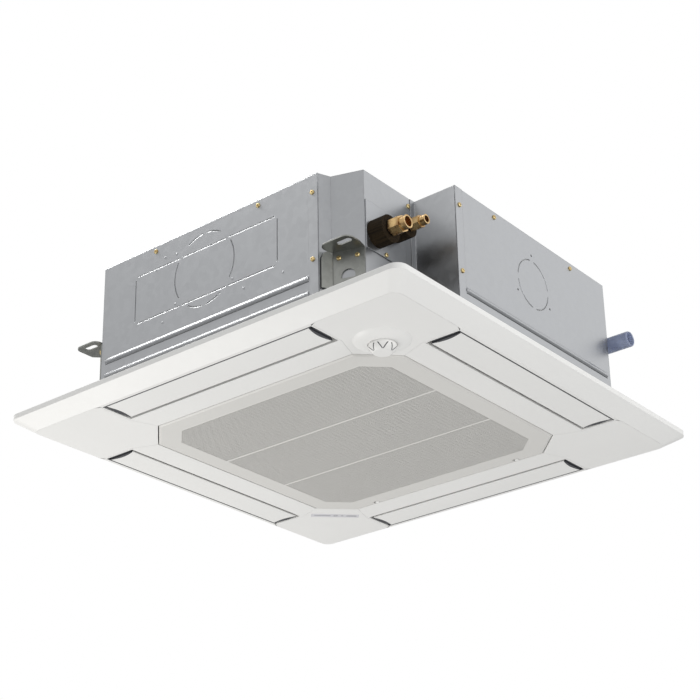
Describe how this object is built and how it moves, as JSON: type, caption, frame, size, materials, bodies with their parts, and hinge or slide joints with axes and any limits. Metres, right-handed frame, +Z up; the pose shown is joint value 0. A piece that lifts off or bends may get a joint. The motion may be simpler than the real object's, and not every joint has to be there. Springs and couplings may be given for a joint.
{
  "type": "ceiling cassette air conditioner",
  "caption": "Square ceiling cassette air conditioner with hinged intake grille, swinging vanes, galvanised cabinet, hanger brackets and pipe connections.",
  "frame": {"origin": "centre of the ceiling opening, in the plane of the ceiling face that the panel rim seals against", "axes": "+Z up into the ceiling, -Y to the front side plate, +X towards the pipe connections"},
  "size_m": [0.95, 0.95, 0.333],
  "materials": {
    "panel_white": "satin moulded plastic",
    "grille_white": "fine satin moulded plastic",
    "filter_net": "woven net in a frame",
    "galvanised": "galvanised sheet with fine spangle",
    "zinc_bracket": "zinc-plated steel",
    "yellow_zinc": "yellow passivated zinc screws",
    "foam": "moulded bead foam",
    "coil_aluminium": "thin aluminium fins",
    "copper": "bright copper tube",
    "brass_nut": "machined brass",
    "collar_foam": "dark brown cell foam",
    "drain_plastic": "translucent blue-violet plastic",
    "pump_plastic": "white moulded plastic",
    "dark_plastic": "dark moulded plastic",
    "lens": "dark infra-red lens",
    "window": "smoked translucent strip",
    "motor_steel": "painted steel case",
    "steel": "ground steel",
    "rubber_mount": "black rubber",
    "board_green": "lacquered circuit board",
    "float_foam": "closed cell float"
  },
  "bodies": {
    "unit": {"panel_frame": "panel_white", "corner_cover_back_right": "panel_white", "corner_cover_indicator": "panel_white", "corner_cover_front_left": "panel_white", "corner_cover_sensor": "panel_white", "indicator_window": "window", "sensor_motor": "motor_steel", "vane_motors": "motor_steel", "top_plate": "galvanised", "side_plate_back": "galvanised", "side_plate_left": "galvanised", "side_plate_front": "galvanised", "side_plate_right": "galvanised", "corner_plate_front_left": "galvanised", "corner_plate_back_left": "galvanised", "corner_plate_drain": "galvanised", "corner_plate_pipe": "galvanised", "hanger_bracket_front_left": "zinc_bracket", "hanger_bracket_back_left": "zinc_bracket", "hanger_bracket_back_right": "zinc_bracket", "hanger_bracket_pipe": "zinc_bracket", "cabinet_screws": "yellow_zinc", "bracket_screws": "yellow_zinc", "foam_liner": "foam", "coil_fins": "coil_aluminium", "coil_end_plates": "galvanised", "coil_return_bends": "copper", "drain_pan": "foam", "bell_mouth": "dark_plastic", "fan_motor": "motor_steel", "motor_mounts": "rubber_mount", "gas_pipe": "copper", "liquid_pipe": "copper", "gas_flare_nut": "brass_nut", "liquid_flare_nut": "brass_nut", "gas_collar": "collar_foam", "liquid_collar": "collar_foam", "pipe_plate": "galvanised", "drain_socket": "drain_plastic", "drain_pump": "pump_plastic", "float_stem": "pump_plastic", "control_box": "galvanised", "control_box_cover": "galvanised", "circuit_board": "board_green", "terminal_block": "pump_plastic"},
    "grille": {"intake_grille": "grille_white", "grille_hinge_pins": "steel", "air_filter": "filter_net"},
    "catch_left": {"grille_catch_left": "grille_white"},
    "catch_right": {"grille_catch_right": "grille_white"},
    "vane_b": {"vane_back": "panel_white"},
    "vane_l": {"vane_left": "panel_white"},
    "vane_f": {"vane_front": "panel_white"},
    "vane_r": {"vane_right": "panel_white"},
    "fan": {"turbo_fan": "dark_plastic", "motor_shaft": "steel", "fan_nut": "steel"},
    "turret": {"sensor_turret": "panel_white", "sensor_lens": "lens"},
    "float": {"drain_float": "float_foam"}
  },
  "joints": [
    {"name": "grille_hinge", "type": "hinge", "parent": "unit", "child": "grille", "pos_m": [0, 0.2995, -0.0305], "axis": [1, 0, 0], "range_deg": [0, 85]},
    {"name": "catch_left_slide", "type": "slide", "parent": "grille", "child": "catch_left", "axis": [0, 1, 0], "range_m": [0, 0.008], "stiffness_N_per_m": 400, "springref_m": -0.004},
    {"name": "catch_right_slide", "type": "slide", "parent": "grille", "child": "catch_right", "axis": [0, 1, 0], "range_m": [0, 0.008], "stiffness_N_per_m": 400, "springref_m": -0.004},
    {"name": "vane_back_swing", "type": "hinge", "parent": "unit", "child": "vane_b", "pos_m": [0, 0.4, -0.013], "axis": [-1, 0, 0], "range_deg": [0, 55]},
    {"name": "vane_left_swing", "type": "hinge", "parent": "unit", "child": "vane_l", "pos_m": [-0.4, 0, -0.013], "axis": [0, -1, 0], "range_deg": [0, 55]},
    {"name": "vane_front_swing", "type": "hinge", "parent": "unit", "child": "vane_f", "pos_m": [0, -0.4, -0.013], "axis": [1, 0, 0], "range_deg": [0, 55]},
    {"name": "vane_right_swing", "type": "hinge", "parent": "unit", "child": "vane_r", "pos_m": [0.4, 0, -0.013], "axis": [0, 1, 0], "range_deg": [0, 55]},
    {"name": "fan_spin", "type": "hinge", "parent": "unit", "child": "fan", "pos_m": [0, 0, 0.16], "axis": [0, 0, 1], "continuous": true},
    {"name": "sensor_turn", "type": "hinge", "parent": "unit", "child": "turret", "pos_m": [0.312, -0.312, -0.04], "axis": [0, 0, 1], "range_deg": [-170, 170]},
    {"name": "float_rise", "type": "slide", "parent": "unit", "child": "float", "axis": [0, 0, 1], "range_m": [0, 0.012]}
  ]
}
